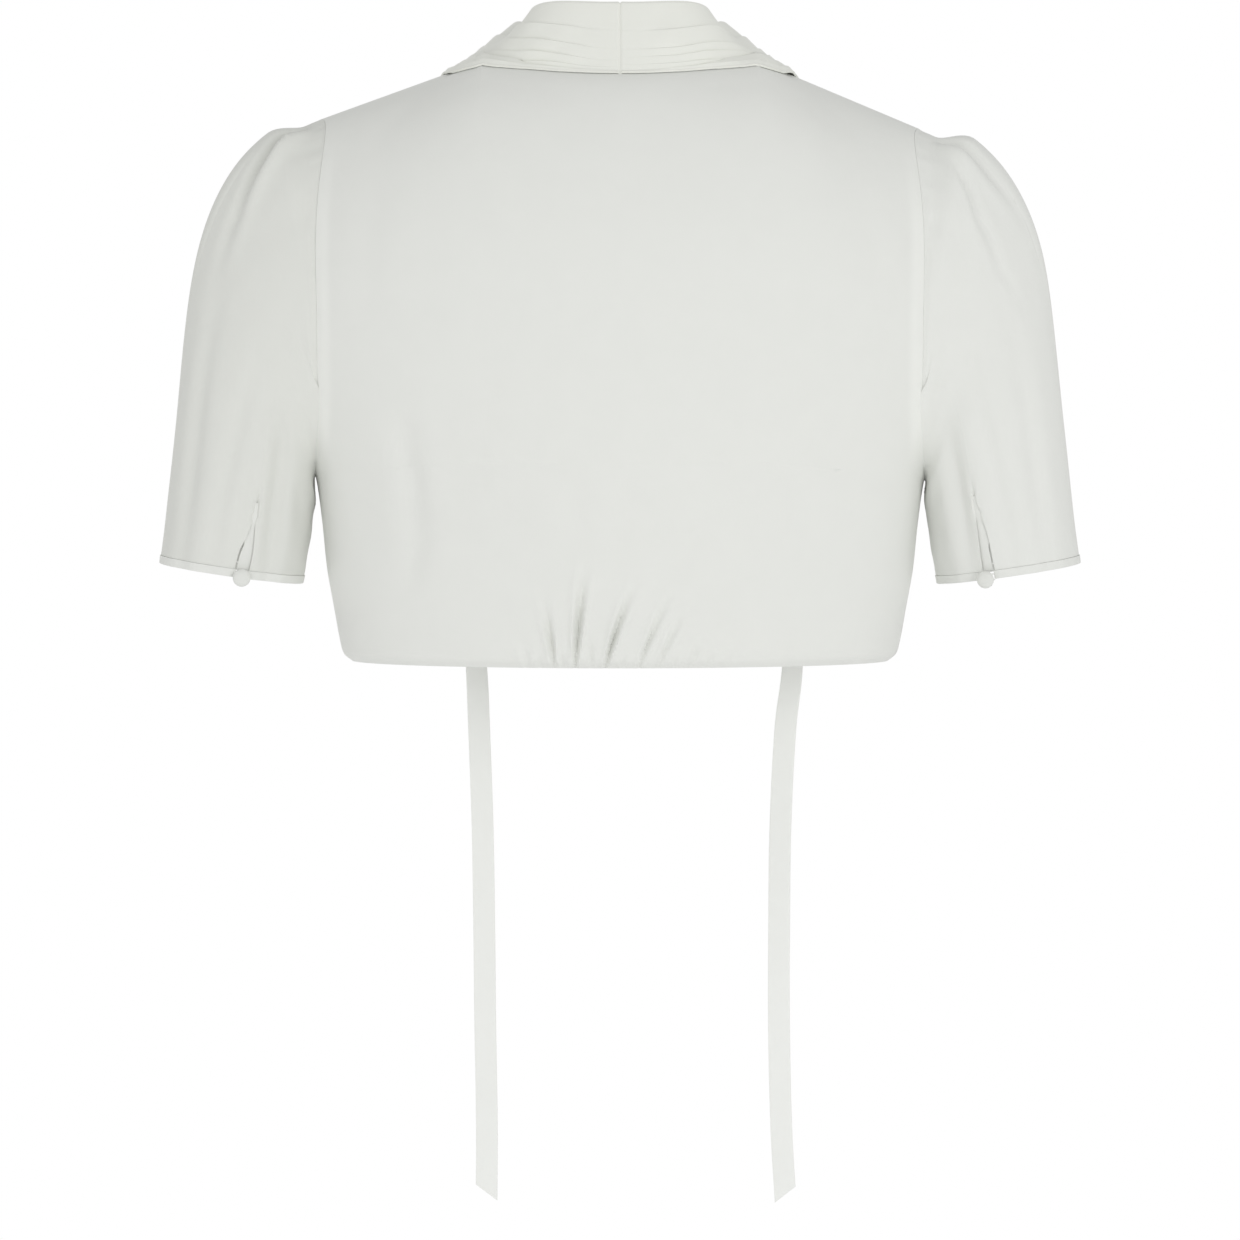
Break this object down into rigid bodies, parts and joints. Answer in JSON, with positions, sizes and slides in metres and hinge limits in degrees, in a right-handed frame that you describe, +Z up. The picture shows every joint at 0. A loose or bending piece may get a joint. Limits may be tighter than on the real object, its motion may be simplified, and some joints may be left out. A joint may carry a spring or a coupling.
{
  "type": "cropped blouse",
  "caption": "White cropped blouse in its worn, hollow shape, with short puffed sleeves slit at the back, a tucked shawl collar folded over at the neck, and ties at the open front.",
  "frame": {"origin": "middle of the neck, level with the seam between the back and the collar, where the blouse rests on the wearer", "axes": "+Z up, -Y towards the front of the wearer, +X towards the wearer's left"},
  "size_m": [0.591, 0.2472, 0.7811],
  "materials": {
    "cloth": "matt plain-weave cotton, off-white",
    "button": "covered in the same cotton",
    "thread": "matt cotton thread"
  },
  "bodies": {
    "root": {"back": "cloth", "front_left": "cloth", "front_right": "cloth", "sleeve_left": "cloth", "sleeve_right": "cloth", "underlap_left": "cloth", "underlap_right": "cloth", "binding_left": "cloth", "binding_right": "cloth", "button_left": "button", "button_right": "button", "loop_left": "thread", "loop_right": "thread", "collar_left": "cloth", "collar_right": "cloth", "tie_left": "cloth", "tie_right": "cloth"}
  },
  "joints": []
}
